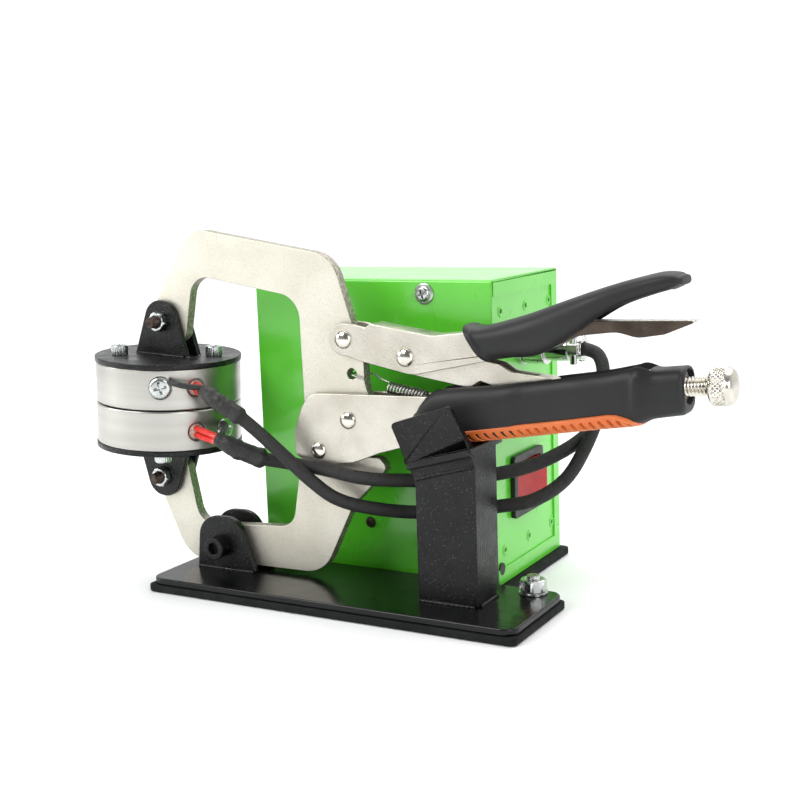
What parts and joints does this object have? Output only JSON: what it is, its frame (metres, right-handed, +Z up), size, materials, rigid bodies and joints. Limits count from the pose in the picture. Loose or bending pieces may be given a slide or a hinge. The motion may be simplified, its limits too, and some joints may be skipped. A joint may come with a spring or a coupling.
{
  "type": "locking clamp heat press",
  "caption": "Bench heat press: locking C clamp with round heated platens on a cradle base, beside a sheet-metal control box with a rocker switch and plug-in leads.",
  "frame": {"origin": "on the ground, at the middle of the base footprint in X", "axes": "+Z up, +X along the clamp from the platens to the handle, operator side at -Y"},
  "size_m": [0.2911, 0.1264, 0.1548],
  "materials": {
    "rubber": "matt black rubber sheet",
    "gloss_black": "smooth gloss black enamel",
    "black_powder": "textured gloss black powder coat",
    "black_oxide": "black oxide",
    "zinc": "bright zinc plate",
    "green": "lime green gloss powder coat",
    "black_plastic": "moulded black nylon",
    "rocker_red": "translucent red moulding",
    "chrome": "nickel-chrome plate",
    "relay_white": "moulded",
    "nickel": "satin nickel plate",
    "grip": "dark grey soft moulding",
    "orange": "orange soft insert",
    "spring_steel": "oiled spring wire",
    "aluminium": "turned and brushed",
    "ceramic": "potted ceramic end",
    "lead_black": "red silicone heater wire, shrink sleeve and braided black sleeve"
  },
  "bodies": {
    "base": {"base_pad": "rubber", "clamp_strip": "gloss_black", "pivot_ear_front": "black_powder", "pivot_ear_rear": "black_powder", "pivot_bolt": "black_oxide", "pivot_nut": "zinc", "cradle_post": "black_powder", "strip_stud": "zinc", "strip_nut": "zinc", "box_cover": "green", "box_floor": "green", "panel_right": "green", "panel_left": "green", "panel_rivets": "green", "cover_screw": "zinc", "cover_button": "black_oxide", "hole_plug": "black_plastic", "switch_body": "black_plastic", "cable_sockets": "chrome", "cable_plugs": "chrome", "mains_inlet": "black_plastic", "temp_controllers": "black_plastic", "relay_blocks": "relay_white", "terminal_strip": "black_plastic", "upper_lead": "lead_black", "lower_lead": "lead_black"},
    "rocker": {"rocker": "rocker_red"},
    "clamp": {"lower_jaw": "nickel", "handle_channel": "nickel", "handle_rivet": "nickel", "jaw_rivet": "nickel", "lower_grip": "grip", "grip_insert": "orange", "screw_bush": "nickel", "return_spring": "spring_steel"},
    "screw_slide": {"screw_tip": "nickel"},
    "screw": {"adjust_screw": "nickel"},
    "upper_jaw": {"upper_jaw": "nickel"},
    "lever": {"lever": "nickel", "lever_rivet": "nickel", "link_rivet": "nickel", "upper_grip": "grip", "release_pin": "nickel"},
    "link": {"toggle_link": "nickel"},
    "release": {"release_lever": "nickel"},
    "upper_platen": {"upper_platen": "aluminium", "upper_flange": "black_powder", "upper_screws": "zinc", "upper_bolt": "black_oxide", "upper_nut": "zinc", "upper_heater": "ceramic", "upper_probe": "zinc"},
    "lower_platen": {"lower_platen": "aluminium", "lower_flange": "black_powder", "lower_screws": "zinc", "lower_bolt": "black_oxide", "lower_nut": "zinc", "lower_heater": "ceramic", "lower_probe": "zinc"}
  },
  "joints": [
    {"name": "clamp_swing", "type": "hinge", "parent": "base", "child": "clamp", "pos_m": [-0.0646, -0.03, 0.0165], "axis": [0, -1, 0], "range_deg": [0, 4], "deforming": ["upper_lead", "lower_lead"]},
    {"name": "jaw_pivot", "type": "hinge", "parent": "clamp", "child": "upper_jaw", "pos_m": [0.0022, -0.03, 0.0765], "axis": [0, 1, 0], "range_deg": [0, 12.01], "deforming": ["return_spring"]},
    {"name": "lever_pivot", "type": "hinge", "parent": "upper_jaw", "child": "lever", "pos_m": [0.0014, -0.03, 0.11], "axis": [0, -1, 0], "range_deg": [0, 47]},
    {"name": "link_pivot", "type": "hinge", "parent": "lever", "child": "link", "pos_m": [0.03, -0.03, 0.1037], "axis": [0, 1, 0], "range_deg": [0, 52.11]},
    {"name": "release_lever", "type": "hinge", "parent": "lever", "child": "release", "pos_m": [0.084, -0.03, 0.1102], "axis": [0, -1, 0], "range_deg": [0, 9], "stiffness_Nm_per_rad": 0.6, "springref_deg": -5.73},
    {"name": "screw_feed", "type": "slide", "parent": "clamp", "child": "screw_slide", "axis": [0.9989, 0, 0.0471], "range_m": [0, 0.01]},
    {"name": "screw_turn", "type": "hinge", "parent": "screw_slide", "child": "screw", "pos_m": [0.1525, -0.03, 0.097], "axis": [0.9989, 0, 0.0471], "range_deg": [0, 2881]},
    {"name": "upper_platen_tilt", "type": "hinge", "parent": "upper_jaw", "child": "upper_platen", "pos_m": [-0.09332, -0.03, 0.11525], "axis": [0, -1, 0], "range_deg": [0, 12.01]},
    {"name": "lower_platen_tilt", "type": "hinge", "parent": "clamp", "child": "lower_platen", "pos_m": [-0.09688, -0.03, 0.04494], "axis": [0, -1, 0], "range_deg": [0, 2.9]},
    {"name": "rocker_tilt", "type": "hinge", "parent": "base", "child": "rocker", "pos_m": [0.0522, 0.0238, 0.0424], "axis": [0, 0, 1], "range_deg": [0, 14]}
  ],
  "couplings": [
    {"joint": "jaw_pivot", "follows": "lever_pivot", "ratio": 0.25532},
    {"joint": "link_pivot", "follows": "lever_pivot", "ratio": 1.1085},
    {"joint": "upper_platen_tilt", "follows": "lever_pivot", "ratio": 0.25532},
    {"joint": "lower_platen_tilt", "follows": "lever_pivot", "ratio": 0.06128},
    {"joint": "screw_turn", "follows": "screw_feed", "rad_per_m": 5026.5}
  ]
}
